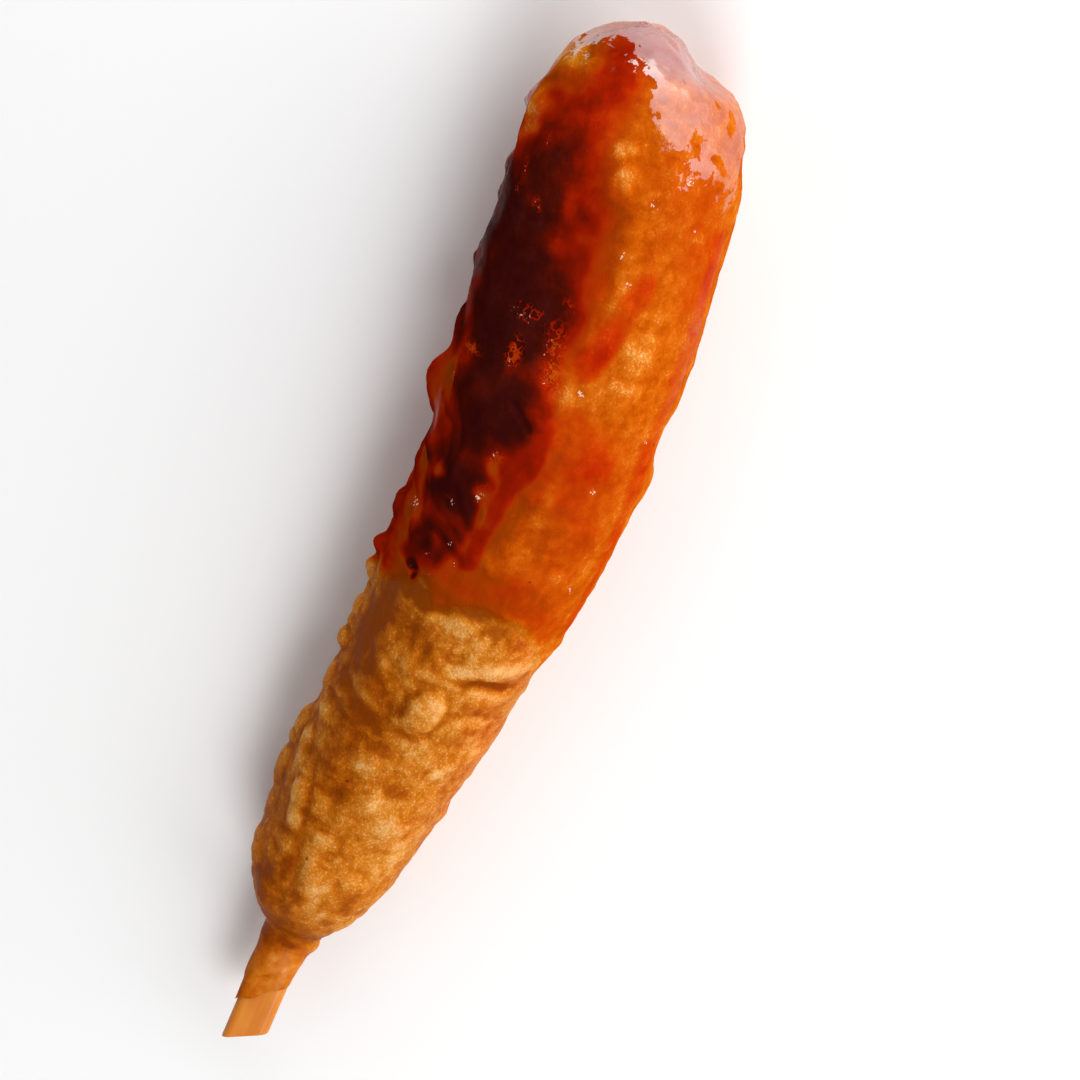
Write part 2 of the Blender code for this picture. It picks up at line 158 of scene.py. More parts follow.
# patches of tone, on bare crust and under the sauce alike; amount: paler (+) or
# more amber (-)
PATCHES = (
    (71, 2, 3.4, 5.4, 0.26, 10), (66.8, -40, 2.4, 9.6, 0.34, 20), (63, -17, 2.4, 4, 0.34),
    (67.6, -11, 2.6, 3.4, 0.08), (62.5, -32, 1.6, 9, -0.4, 9), (63.5, 2, 1.6, 4, -0.24, -30),
    # painted highlight on the nodule's upper right (56.6 mm); painted shadows on its left (54.6
    # mm) and below it (48.6 mm)
    (62, 30, 7, 6, 0.2, 20), (58, 20, 4, 5, 0.16), (56.6, -11, 3.6, 2.2, 0.24, -6),
    (51.4, -7, 2.4, 2.2, -0.14), (54.6, 3, 5, 1.2, -0.3, -8), (48.6, -8, 1.2, 3.2, -0.26),
    (52.2, 32, 3.4, 5.4, 0.22), (48, 30, 1.6, 6, -0.16), (61, -38, 2.2, 5, 0.26, 10),
    (57.6, -37, 2, 5, -0.24, 10), (56, -47, 1.6, 6, 0.24, 10), (53.6, -38, 1.8, 5, -0.2, 10),
    (50.2, -56, 2.4, 4, 0.26), (44.6, -39, 2, 2, 0.26), (42.6, -57, 2.6, 3.4, 0.22),
    (39.8, 7, 2.4, 3.8, 0.26, 20), (39, -20, 2.6, 3.6, -0.2), (46.6, -14, 2.4, 3.4, 0.2),
    # painted shade: the dark hollow on the shaded left of the bare crust (60 mm, 54°)
    (60, 54, 12, 3.4, -0.34), (65, 84, 2.8, 4.8, 0.26), (51.5, 84, 2.8, 4, 0.14),
    (64, 62, 3, 3.6, 0.1), (28.5, 41, 8, 2.8, 0.16, 11), (29, 31, 8, 1.8, -0.16, 11),
    (31.6, -28, 3.4, 3.6, 0.16, -20), (26.6, -50, 5, 3.2, 0.26), (20, 13, 6, 2.2, 0.12, 8),
    (16, 24, 5, 1.8, -0.3, 8), (13, -6, 6, 2.4, 0.26), (9, -20, 4, 2, 0.24),
    (36, -14, 3, 3.4, 0.18, 20), (24, 4, 3, 3, 0.2), (16, -30, 4, 3.4, -0.18),
    (34, 14, 3.4, 4, -0.22), (153.4, -1, 2.4, 3.4, 0.36), (149.2, -2, 2, 3, 0.34),
    (151.2, 0, 1.2, 4, -0.22), (145.6, -2, 2, 4, -0.2), (140, -13, 7, 3.6, -0.1, 8),
    (79, -6, 5, 6, -0.4), (133.2, -16, 2.2, 2.2, 0.34), (126, -36, 11, 4.8, 0.05, -8, 3),
    (79, 6, 6, 14, -0.34, 0, 3), (102, -9, 5, 5, -0.16), (75, 8, 4, 32, -0.14),
    (94, 12, 12, 5, -0.22), (139, 5, 15, 7, -0.55), (126, 2, 8, 5.4, -0.55),
    (114.6, -4, 3, 3, 0.34), (97, 8, 18, 7, -0.5, 0, 3), (99, -20, 13, 6, -0.22),
    (80, 20, 5.4, 10, -0.5, 0, 3), (98.6, -15, 3.6, 3.2, 0.2), (168, -30, 5, 18, -0.3, 0, 3),
    (94, -13, 3, 2.6, 0.14), (87, -16, 3.4, 3, 0.16), (97, -55, 6, 5, 0.2), (87.6, -55, 3, 3, 0.2),
    (84.6, -40, 3, 3, 0.18), (164.8, 62, 2.4, 9, 0.2), (154.4, 57, 4.6, 4.4, 0.46),
    (114, 2, 3.4, 2.2, 0.18), (92, -45, 3, 3.4, -0.2), (79, -32, 3.6, 6, -0.3),
    # painted shade: darker patches on the shaded left of the bare crust (64 mm 43°, 50 mm 26°, 11
    # mm 38°)
    (64, 43, 13, 6, -0.46), (50, 26, 15, 7, -0.3), (66, 20, 5, 4, -0.2), (11, 38, 7, 5, -0.2),
    (-8, 0, 8, 16, 0.36, 0, 3), (3, 4, 5, 12, -0.22), (94, 60, 24, 18, -0.58, 0, 3),
    # painted highlight: the collar's bright spot (-4.6 mm); painted shade: its dark fold line
    # (-0.8 mm)
    (-4.6, 6, 2, 1.6, 0.24), (-0.8, -14, 1.4, 3, -0.34), (-9, 12, 1.6, 2.4, -0.2, 20),
    (100.4, 18, 3.4, 2.8, 0.24), (93.6, 17, 3, 2.2, 0.24), (93.3, 42, 2.6, 2, 0.2),
    (93.4, 62, 3.4, 4, 0.1), (85, 58, 3.6, 4, 0.1), (109.4, 68, 3.6, 4, 0.24),
    # painted shade: the shaded crust below the sauce's pit (72.4 mm, 34°)
    (43.6, 57, 3.4, 3.4, 0.2), (72.4, 34, 2.8, 8, -0.52), (72.4, 16, 2.8, 6, -0.28),
    (72.4, -24, 2.8, 7, -0.2), (160.4, 60, 1.8, 4, -0.24), (44.2, 4, 2.4, 3, -0.26),
    (56.2, 5, 1.8, 3, 0.22), (36.4, 28, 2.4, 3.4, -0.24), (8.4, 36, 3, 3.4, -0.26),
    (8.4, 12, 2.4, 2.6, -0.28), (8.4, -28, 2.4, 2.6, -0.24), (12.6, -36, 2.4, 2.4, -0.24),
    (132.4, -12, 3, 3, -0.18), (80.4, 12, 2.6, 3, -0.2), (65, 28, 1.8, 5, 0.2),
    (50.4, 26, 1.8, 5, 0.24), (50, 52, 2.4, 3, -0.28), (46.8, 57, 2, 3.6, -0.24),
    (53.6, 27, 1.6, 5, -0.18), (56.6, 26, 1.8, 3, -0.12), (80, 8, 3.4, 3.4, -0.2),
    (94, 12, 4, 2.6, -0.2), (92.4, 48, 3.4, 4, 0.2), (24, 36, 2.4, 3, 0.2), (28, 49, 3, 3, 0.2),
    # painted shade: more of the shaded crust below the pit (72.4 mm, 38°)
    (12, 4, 2.4, 2.6, -0.2), (48, 12, 2.4, 2.6, -0.2), (72.4, 38, 2.8, 6, -0.2),
    (130, 74, 30, 9, -0.4, 0, 3), (92, -38, 16, 10, -0.14, 0, 3), (37, 62, 3, 2.6, 0.26),
    (32.6, 56, 3, 2.4, 0.24), (42, -55, 6, 3, -0.16),
)

TURNS = 288
TOP_SHARE = 0.30  # how much closer the turns stand on the shown side
BARE_STEP = 0.00037  # row spacing where the crust is bare
COVERED_STEP = 0.0013  # row spacing where the sauce hides it
OUTLINE_POINTS = (3000, 900)  # body and head, to measure its length by

# ---------- sauce
# where the sauce ends: turn deg, along mm
HEM = ((-180, 74), (-150, 76), (-120, 70), (-90, 63), (-70, 64.5),
       (-57, 69.6), (-45, 71.8), (-30, 74), (-14, 75.4), (0, 74.6),
       (8, 73.4), (14, 71.4), (20, 73.2), (28, 74.6), (38, 73.2), (48, 71.6),
       (60, 69.6), (74, 70.6), (84, 68), (96, 69), (108, 72.4), (122, 69),
       (136, 73), (150, 70), (180, 74))
HEM_WAVER = ((0.0045, 0.0012, 29), (0.0018, 0.0006, 31))
HEM_RADIUS = 0.017
STAIN_WIDTH = 0.0024  # how far the colour takes to fade at the hem
FILM = 0.09 * MM  # thinnest film over a crest
HEM_DIP = 0.12 * MM  # how far the skin dips into the crust at the hem
HEM_OVERLAP = 0.002  # how far it goes on past the hem
SAUCE_START = 0.070  # where its rows are spread from
CREST_SHARE = 0.7  # how much the crust's crests show through it
SKIN_DEPTH = 0.6 * MM  # how far its inner side lies inside the crust
SAUCE_ROWS = 262
INNER_ROWS = 44
SAUCE_RADIUS = 0.0185  # the radius that a run's turns count on

# runs of thicker sauce: half width mm, edge (2 soft, 4 steep), depth of colour
# mm, thickness added mm, then stations (along mm, turn deg)
RUNS = (
    (12, 3, 0.95, 0.4, ((151, 42), (144, 42))),
    (15.4, 3, 1.6, 0.45, ((140, 44), (131, 42), (124, 38))),
    (12, 3, 1.6, 0.42, ((124, 34), (117, 32), (110, 30))),
    (8.6, 3, 1.5, 0.42, ((110, 28), (104, 29), (97, 32), (90, 34))),
    (6.6, 3, 1.25, 0.3, ((92, 33), (86, 33), (81, 35))),
    (5, 2, 0.34, 0.06, ((87, 48), (83, 46), (79, 43))),
    (12, 2, 1.4, 0.08, ((150, 88), (135, 88), (118, 84))),
    (13, 2, 0.62, 0.08, ((112, 88), (100, 86), (86, 82), (74, 80))),
    (10.5, 2, 0.58, 0.34, ((170, 14), (164, 19), (156, 24), (147, 27))),
    (9.5, 2, 0.2, 0.22, ((150, 12), (138, 9), (128, 6), (123, 5))),
    (6, 2, 0.3, 0.14, ((170, 40), (162, 46), (156, 44))),
    (2.4, 2, 0.12, 0.05, ((146, -31), (140, -30), (134, -27))),
    (2.5, 4, 0.34, 0.26, ((135, -27), (130, -21), (125, -15))),
    (3.3, 4, 0.5, 0.34, ((126, -15), (121.5, -10), (119, -8))),
    (6, 3, 0.38, 0.24, ((109, -6), (108, -16), (105, -26))),
    (2.8, 4, 0.56, 0.36, ((107, 0), (101, 2), (95, 2), (88, 8), (83, 7))),
    (3.4, 2, 0.56, 0.16, ((107, 10), (100, 13), (94, 15), (86, 20))),
    (3.4, 2, 0.3, 0.26, ((108, -62), (102, -63), (96, -67), (86, -72), (76, -72))),
    (3.6, 2, 0.26, 0.2, ((142, -62), (130, -66), (118, -66), (106, -64))),
    (9, 2, 0.13, 0.16, ((151, -34), (145, -46), (134, -60))),
    (13, 2, 0.02, 0.45, ((168, -30), (161, -44), (155, -58))),
    (5.6, 3, 0.4, 0.04, ((171, 0), (168.6, -28), (168.6, -60))),
    (5, 2, 0.6, 0.08, ((107, 50), (100, 53), (96, 50))),
    (3.2, 3, 0.24, 0.06, ((108, -4), (102, -10), (97, -10))),
    (15, 2, 0.14, 0.04, ((76, -30), (90, -34), (102, -36))),
    (5.6, 2, 0.18, 0.14, ((80, -18), (77, -38), (75, -52))),
    (5.6, 2, 0.2, 0.12, ((81, 26), (78.5, 8), (79, -10))),
    (4, 2, 0.2, 0.08, ((104, -22), (97, -28), (92, -44))),
)

SWAY_ALONG = ((0.0050, 0.0010, 41), (0.0022, 0.0005, 42))  # of runs and spots
SWAY_ROUND = ((0.0060, 0.075, 44), (0.0024, 0.030, 45))  # in radians
CLOUDS = ((0.0058, 0.36, 71), (0.0029, 0.26, 73))  # of the runs' colour
CLOUD_MEAN = 0.94
RUN_EVENS = 0.28  # thickness, mm, over which the crust is evened
EVENED_PASSES = 60
EVENED_DROP = 0.05 * MM  # how far the evened crust is lowered
FILM_PASSES = 3  # that even out the sauce's top
STANDING_SHARE = 0.55  # how much of a run stands over the evened crust
BASE_DEPTH = 0.16  # depth of colour, mm, away from the runs,
CREST_DEPTH = 0.018  # less this for each step that a place is raised
DEPTH_LIMITS = (0.03, 3.0)  # least and most depth of colour, mm

# threads drawn out between the knobs, in the same terms
THREADS = (
    (1.2, 2, 0.34, 0.22, ((104.6, 67), (102.4, 47), (97, 39), (93, 27), (88, 17))),
    (1.1, 2, 0.34, 0.22, ((104, 78), (96, 62), (93, 48), (89, 42), (87.4, 26), (85, 17))),
    (1.3, 2, 0.4, 0.2, ((80, 46), (84.2, 39), (83.9, 24), (82.7, 15))),
    (1, 2, 0.3, 0.18, ((106.2, 45), (100.2, 36), (93.6, 34), (89.3, 28))),
    (1.1, 2, 0.3, 0.2, ((100, 84), (98, 66), (95, 55), (90, 50), (84.2, 43))),
    (1, 2, 0.26, 0.18, ((90, 84), (88.6, 64), (86, 52), (80.6, 50))),
    (0.8, 2, 0.5, -0.3, ((110.5, 18), (109, 12), (107.2, 7))),
)
THREAD_SWAY = 0.3  # a thread sways less than a run

# spots where the crust shows through the sauce, or where the sauce is darker;
# amount: depth of colour taken (+) or added (-), in mm
THIN = (
    (164.9, 62, 3, 9, 0.6), (155.6, 58, 5, 4.4, 0.6), (153.4, -1, 2.6, 3.6, 0.14),
    (149.2, -2, 2.2, 3.2, 0.14), (109, 68, 4, 5, 0.36), (100.8, 19, 4.4, 3.2, 0.76),
    (98, 15, 3.2, 2.2, 0.5, 30), (93.6, 17, 3.2, 2.4, 0.68), (90.2, 14, 3, 1.8, 0.44),
    (113, 26, 3.4, 2.2, 0.45), (93.4, 62, 3.4, 4, 0.28), (85, 58, 3.6, 4, 0.24),
    (78.4, 30, 2.6, 2.8, 0.5), (75.6, 39, 1.7, 1.7, -1.7, 35), (73.7, 35, 1.2, 1.3, -1.6),
    (93.3, 42, 2.6, 2, 0.9), (81.6, 30, 2.4, 2.2, 0.8), (105, 24, 4, 2.4, 0.45),
    (120, 44, 5, 3, 0.35, 20), (136, 30, 6, 3, 0.3, -20), (125.4, -36, 10, 4.4, 0.05, -8, 3),
    (92.4, 48, 3.4, 4, 0.85), (152.4, 52, 3, 3, 0.4), (152.4, 36, 3, 3, 0.26),
    (96, 28, 2.4, 2.4, 0.3), (112, 52, 3, 3, 0.26), (156.4, 45, 3, 3, 0.26), (152, 61, 3, 3, 0.24),
    (132.4, 20, 3.4, 3.4, -0.42), (132.4, -5, 3.4, 2.8, -0.12), (77, 46, 2.4, 2.6, -0.45),
    (83, 12, 4, 2.6, -0.22),
)

# crackled crests standing out of the dark sauce; amount: how crackled
CRACKLED = (
    (124.4, 25, 2.4, 6, 1.5, 6), (118, 27, 4.6, 2.4, 1.4), (122.2, 9, 5.6, 2.6, 1),
    (117, 7, 3.6, 1.8, 1), (128.6, 9, 1.8, 1.6, 0.8), (142.4, 53, 1.8, 1.8, 1),
    (142, 37, 2.4, 2, 1, 20), (147, 50, 2.4, 1.6, 0.7), (152.5, 40, 2, 1.6, 0.5),
    (114.6, 52, 1.8, 3.4, 1.2), (108.6, 62, 2.6, 2.4, 0.5), (101.6, 17, 2.2, 1.8, 0.6),
    (94, 17, 2.6, 1.8, 0.6), (85.6, 55, 1.8, 3.4, 0.4), (90.4, 29, 1.4, 1.8, 0.6),
    (78.4, 25, 1.4, 1.6, 0.3),
)
FOLDS = ((0.0021, 1.0, 61), (0.0011, 0.5, 62))  # a crest is where they are 0
FOLD_WIDTH = 0.16
FOLD_HEIGHT = 0.16 * MM
MOST_CRACKLED = 1.6

# where the window's light lies on the head: turn deg, along mm of its edge
SHINE_EDGE = ((-180, 152), (-120, 156), (-90, 157.6), (-76, 152.4), (-64, 150),
              (-52, 149.6), (-43, 150.6), (-34, 152.4), (-26, 154), (-19, 156.4),
              (-10, 163), (0, 166), (10, 167.2), (40, 166.3), (60, 165.8),
              (75, 166), (120, 166), (180, 152))
SHINE_REACH = 9.0  # mm either side of that edge that are told apart
MIRROR_SIDE = 0.38  # how much the head mirrors on its side
MIRROR_TIP = 1.02  # and at its tip
# further glossy places; amount: gloss
GLOSSY = (
    (153, 90, 16, 4, 0.5, 0, 3), (161, 78, 6, 3.6, 0.7, 0, 3), (134, 91, 12, 3.6, 0.12, 0, 3),
    (134, 72, 18, 5, 0.04), (101, 66, 5, 1, 0.12, 20), (128, -67, 20, 3, 0.05),
)
# pale dots painted into the sauce's colour: painted glints on small crests, and over the frosty
# streak at 125 mm, -37° specks of frost; amount: how bright
PAINTED_GLINTS_AND_FROST = (
    (115.6, -12, 1, 0.8, 1, 0, 3), (100.6, -36, 0.8, 0.8, 1, 0, 3),
    (109.6, -58, 0.8, 0.8, 1, 0, 3), (143.6, -44, 0.7, 0.7, 0.9, 0, 3),
    (134, -17, 1.6, 1, 0.7, 30, 3), (146.6, -19, 2.8, 1.4, 0.66, 10), (150.6, -35, 2, 1.8, 0.8),
    (138.4, -10, 1.2, 0.8, 0.7, 0, 3), (108.6, 62, 2.4, 2.4, 0.66), (101, 18, 1.8, 1.4, 0.7),
    (93.4, 17, 2.4, 1.4, 0.74), (90.4, 29, 1.4, 1, 0.78), (85.6, 54, 2, 3, 0.7),
    (124.4, 25, 2, 6, 0.5, 6), (121, 9, 5, 1.8, 0.52), (117, 26, 4, 2, 0.46),
    (116, 6, 2.4, 1.2, 0.6), (142.4, 53, 1.6, 1.6, 0.5), (142, 37, 2.4, 1.6, 0.5, 20),
    (147, 50, 2, 1.4, 0.46), (152.4, 40, 1.8, 1, 0.5), (114.8, 53, 1.4, 2.6, 0.46),
    (83, -53, 1.6, 0.8, 0.7, 40, 3), (125, -37, 11, 4, 0.4, -8), (83.6, 22, 0.7, 2.6, 0.7, 40),
    (81, 15, 1.6, 0.7, 0.62, 20), (79.6, 31, 0.7, 1.8, 0.7, 30), (77, 25, 1, 0.7, 0.74),
    (75.6, 40, 0.7, 0.7, 0.8), (166.2, 60, 0.7, 5, 0.7, 20),
)
# places inside the head's shine that stay dull; amount: mm outside its edge
DULL = (
    (153.6, -51, 3.2, 2.8, 7, 20), (158.2, -66, 3, 2.6, 12), (162, -57, 2.4, 2, 12),
    (163.6, -36, 2, 4, 11, 30), (156.6, -38, 3, 4, 4, 20),
)

# ---------- view
LENS = 110.0  # mm
SENSOR_WIDTH = 36.0  # mm
VIEW_DISTANCE = 0.5433
VIEW_TARGET = (0.0110, -0.0085, 0.0150)
VIEW_TILT = 18.0  # from straight down, towards the head
VIEW_ROLL = 66.43  # the body's angle over the picture's level
BODY_MIDDLE = (0.0, 0.0, 0.015)
FLOOR_HALF = 1.5
FLOOR_GAP = 0.2 * MM


# ========== plain numbers
def rise(value, low, high):
    """Smooth rise from 0 at low to 1 at high: 3 t squared less 2 t cubed,
    where t is the share of the way.  It falls where high is the lesser."""
    t = np.clip((value - low) / (high - low), 0.0, 1.0)
    return t * t * (3.0 - 2.0 * t)


def through(along, stations):
    """Smooth curve through stations: a cubic between each two, whose slopes
    at the stations are the slopes between their neighbours."""
    places, sizes = np.array(stations, float).T
    slopes = np.gradient(sizes, places)
    i = np.clip(np.searchsorted(places, along) - 1, 0, len(places) - 2)
    gap = places[i + 1] - places[i]
    s = np.clip((along - places[i]) / gap, 0.0, 1.0)
    start = sizes[i] * (1 + 2 * s) * (1 - s) ** 2 + slopes[i] * gap * s * (1 - s) ** 2
    end = sizes[i + 1] * s * s * (3 - 2 * s) + slopes[i + 1] * gap * s * s * (s - 1)
    return start + end


def body_radius(along):
    """Radius of the plain form: the body's radius times both caps' fall-off,
    joined to the collar by the sixth root of the sum of sixth powers."""
    head = np.clip((along - BODY_LENGTH + HEAD_CAP) / HEAD_CAP, 0.0, 1.0)
    tail = np.clip((TAIL_CAP - along) / TAIL_CAP, 0.0, 1.0)
    body = through(np.clip(along, 0.0, BODY_LENGTH), RADII)
    body = body * (1 - head ** 2) ** (1 / HEAD_BLUNTNESS) * np.sqrt(1 - tail ** 2)
    collar = np.where(along < BODY_LENGTH / 2, COLLAR_RADIUS, 0.0)
    return (body ** JOIN_POWER + collar ** JOIN_POWER) ** (1 / JOIN_POWER)


def centre_line(along):
    """Middle of the body: X is the distance along, Y its bow, Z its radius
    less the depth of the flat spot."""
    lift = through(np.clip(along, 0.0, BODY_LENGTH), RADII) - FLAT_SPOT_DEPTH
    return np.stack([along + NECK_X, through(along, BOW) + BOW_Y, lift], axis=-1)


def bowed(straight):
    """Carry points (along, left, up) to the bowed body: the centre line's
    point plus left times its level sideways direction plus up."""
    along, step = straight[..., 0], 0.1 * MM
    run = centre_line(along + step) - centre_line(along - step)
    run[..., 2] = 0.0
    run /= np.linalg.norm(run, axis=-1, keepdims=True)
    left = np.stack([-run[..., 1], run[..., 0], np.zeros(along.shape)], axis=-1)
    points = centre_line(along) + left * straight[..., 1:2]
    points[..., 2] += straight[..., 2]
    return points


def unevenness(points, cell, seed):
    """Seeded smooth noise from -1 to 1: table values at the corners of a
    lattice, blended between them by smooth steps."""
    table = np.random.default_rng(seed).random((NOISE_TABLE,) * 3)
    place = points / cell
    low = np.floor(place).astype(int)
    t = rise(place - low, 0.0, 1.0)
    value = np.zeros(points.shape[:-1])
    for corner in range(8):
        step = np.array([corner & 1, corner >> 1 & 1, corner >> 2 & 1])
        index = (low + step) % NOISE_TABLE
        share = np.where(step == 1, t, 1.0 - t).prod(axis=-1)
        value += share * table[index[..., 0], index[..., 1], index[..., 2]]
    return value * 2.0 - 1.0


def puffs(points, cell, seed):
    """Rounded lumps with creases between them: the size of the noise whatever
    its sign, evened at the creases, about a mean of nothing."""
    return 2.5 * np.sqrt(unevenness(points, cell, seed) ** 2 + 0.01) - 0.75


def layered(points, layers, shift=0.5, kind=unevenness):
    """The layers of a seeded noise together, read at points moved by a shift,
    so that one noise doesn't lie over another."""
    return sum(high * kind(points + shift, cell, seed) for cell, high, seed in layers)


def nearest_turn(turn):
    """The same turn, within half a turn of 0."""
    return np.mod(turn + pi, 2 * pi) - pi


def spot(along, turn, row):
    """One spot of a table: its amount times (1 - reach to the power edge)
    squared, where reach is the distance over the half sizes in the spot's
    leaning axes."""
    at, angle, length, width, amount, lean, edge = *row, *SPOT_ENDING[len(row) - 5:]
    ahead = along - at * MM
    around = nearest_turn(turn - radians(angle)) * body_radius(np.array([at * MM]))[0]
    c, s = np.cos(radians(lean)), np.sin(radians(lean))
    u = (ahead * c + around * s) / (length * MM)
    v = (around * c - ahead * s) / (width * MM)
    reach = np.clip(np.hypot(u, v), 0.0, 1.0)
    return amount * (1.0 - reach ** edge) ** 2


def spots(along, turn, table):
    """All the spots of a table together."""
    return sum(spot(along, turn, row) for row in table)


def relief(straight, along, turn):
    """Height of the crust over the plain form, and how much of it is crests
    and creases: broad unevenness, then rounded lumps of two sizes and every
    named lump, all less on the smooth side and underneath."""
    rough = 1.0 - SMOOTH_SHARE * rise(turn_from(turn, SMOOTH_SIDE), 0.0, 1.0)
    rough = rough * (1.0 - UNDERSIDE_SHARE * rise(-np.cos(turn), 0.55, 0.90))
    crests = layered(straight, PUFFS, kind=puffs) * rough
    crests = crests + spots(along, turn, LUMPS) * MM
    tip = TIP_SHARE + (1.0 - TIP_SHARE) * rise(BODY_LENGTH - along, *RELIEF_ENDS)
    ends = rise(along, *RELIEF_STARTS) * tip
    return (layered(straight, UNEVEN) * rough + crests) * ends, crests * ends


def crust_height(straight, along, turn):
    """Relief plus two finer sizes of rounded lumps, faded on the collar, and
    how far each place is raised."""
    calm = FINE_ON_COLLAR + (1.0 - FINE_ON_COLLAR) * rise(along, *FINE_STARTS)
    fine = layered(straight, FINE, kind=puffs) * calm
    height, crests = relief(straight, along, turn)
    return height + fine, np.clip((crests + 2.0 * fine) / RAISED, -2.5, 2.5)


def standing_out(height, raised):
    """Half of how raised a place is, plus its height over its evened surroundings, a twelfth of a
    millimetre being 1.  Where it sets the tone, the pale crests are partly real frost and partly
    painted light, and the dark creases are painted shade."""
    # height over the evened surroundings: in the tone it is painted shade in the creases and
    # painted light on the crests
    nearby = (height - blurred(height, SURROUNDINGS)) * 12 / MM
    return np.clip(0.5 * raised, -1.0, 1.0) + np.clip(nearby, -1.2, 1.2)


def tone_of(straight, along, turn):
    """How pale (+) or amber (-) the crust is: the named patches, read at swaying places, darker at
    the neck, and with painted shade towards the left side."""
    sway = layered(straight, TONE_SWAY, shift=0.3)
    tone = spots(along + sway, turn + sway / SWAY_RADIUS, PATCHES)
    tone = tone - NECK_AMBER * rise(along, *NECK_DARKENS)
    # painted shade: darker towards the left side, which faces away from the window
    return tone - LEFT_PAINTED_SHADE * rise(turn_from(turn, 75), 0.35, 1.0)


def turn_from(turn, degrees):
    """1 on the side at that turn, 0 on the far side."""
    return 0.5 + 0.5 * np.cos(turn - radians(degrees))


# ========== grids
def turns():
    """Turns of the grid's columns, closer together on the shown side: the
    even turn less a share of its sine."""
    even = np.arange(TURNS) * (2 * pi / TURNS)
    return even - TOP_SHARE * np.sin(even)


def outline(start, stop, steps):
    """Rows along the plain form's outline from start to stop, as distances
    along and radii, with the row spacing of steps(along) taken along the
    outline's own length."""
    on_body, on_head = OUTLINE_POINTS
    head = BODY_LENGTH - HEAD_CAP * (1 - np.sin(np.linspace(0, pi / 2, on_head)))
    body = np.linspace(start, BODY_LENGTH - HEAD_CAP, on_body)[:-1]
    along = np.concatenate([body, head]) if start < head[0] else head
    along = along[along <= stop]
    radius = body_radius(along)
    piece = np.hypot(np.diff(along), np.diff(radius))
    count = np.concatenate([[0.0], np.cumsum(piece / steps(along[1:]))])
    rows = np.linspace(0.0, count[-1], int(round(count[-1])) + 1)
    return np.interp(rows, count, along), np.interp(rows, count, radius)


def plain_form(along, radius, turn):
    """Places (along, r sin turn, r cos turn) of a grid and its outward
    directions, square to the outline."""
    places = np.stack([along, radius * np.sin(turn), radius * np.cos(turn)], axis=-1)
    climb = np.gradient(radius, axis=0)
    run = np.gradient(along, axis=0)
    size = np.hypot(climb, run) + 1e-12
    outward = np.stack([-climb / size, run / size * np.sin(turn),
                        run / size * np.cos(turn)], axis=-1)
    return places, outward


def flattened(straight):
    """Flatten the collar to its height over its width, and slant its end:
    points slide back along the stick by the slant times their left place."""
    straight = straight.copy()
    low = rise(straight[..., 0], *COLLAR_FLATTENS)
    straight[..., 2] *= 1.0 - (1.0 - COLLAR_FLATNESS) * low
    end = (SLANT_START - straight[..., 0]) / (COLLAR_LENGTH + SLANT_START)
    end = np.clip(end, 0.0, 1.0)
    straight[..., 0] -= COLLAR_SLANT * straight[..., 1] * end
    return straight


def shown(name, data):
    """New object in the scene."""
    obj = bpy.data.objects.new(name, data)
    bpy.context.scene.collection.objects.link(obj)
    return obj


def wrapped(name, grid, first, last):
    """Closed mesh from a grid of rings: quads between rings, wrapped round,
    and a fan of triangles to a point at either end."""
    rings, around = grid.shape[:2]
    index = np.arange(rings * around).reshape(rings, around)
    onward = np.roll(index, -1, 1)
    quads = np.stack([index[:-1], index[1:], onward[1:], onward[:-1]], -1)
    fan_a = np.stack([np.full(around, index.size), index[0], onward[0]], -1)
    fan_b = np.stack([np.full(around, index.size + 1), onward[-1], index[-1]], -1)
    corners = np.concatenate([quads.ravel(), fan_a.ravel(), fan_b.ravel()])
    sizes = np.repeat([4, 3], [quads[..., 0].size, 2 * around])
    starts = np.cumsum(sizes) - sizes
    points = np.concatenate([grid.reshape(-1, 3), [first, last]])
    mesh = bpy.data.meshes.new(name)
    for part, label, values in ((mesh.vertices, "co", points),
                                (mesh.loops, "vertex_index", corners.astype(np.int32)),
                                (mesh.polygons, "loop_start", starts.astype(np.int32))):
        part.add(len(values))
        part.foreach_set(label, values.ravel())
    mesh.polygons.foreach_set("use_smooth", np.ones(len(sizes), bool))
    mesh.update(calc_edges=True)
    mesh.validate()
    return shown(name, mesh)


def keep(obj, **grids):
    """Store numbers for every point of a wrapped mesh as named attributes;
    the two end points take the mean of the ring beside them."""
    for name, grid in grids.items():
        values = np.concatenate([grid.ravel(), [grid[0].mean(), grid[-1].mean()]])
        layer = obj.data.attributes.new(name, "FLOAT", "POINT")
        layer.data.foreach_set("value", values)


def blurred(grid, passes):
    """Even out a grid: each pass mixes every point half and half with the
    mean of its four neighbours, round the turn and along with free ends."""
    for _ in range(passes):
        ahead = np.concatenate([grid[1:], grid[-1:]])
        behind = np.concatenate([grid[:1], grid[:-1]])
        sides = np.roll(grid, 1, 1) + np.roll(grid, -1, 1)
        grid = 0.5 * grid + 0.125 * (ahead + behind + sides)
    return grid


def round_table(turn, stations):
    """A table against the turn in degrees, at each turn, in metres."""
    return through(np.degrees(nearest_turn(turn)), stations) * MM


def hem_line(turn):
    """Where the sauce ends at each turn: the stations, wavering a little."""
    ring = np.stack([np.zeros(turn.shape), np.sin(turn), np.cos(turn)], axis=-1)
    return round_table(turn, HEM) + layered(HEM_RADIUS * ring, HEM_WAVER)


def stain(along, turn):
    """Share of the sauce's depth of colour at its edge: 0 at the hem, 1 past
    the stain's width."""
    return rise(along - hem_line(turn), 0.0, STAIN_WIDTH)


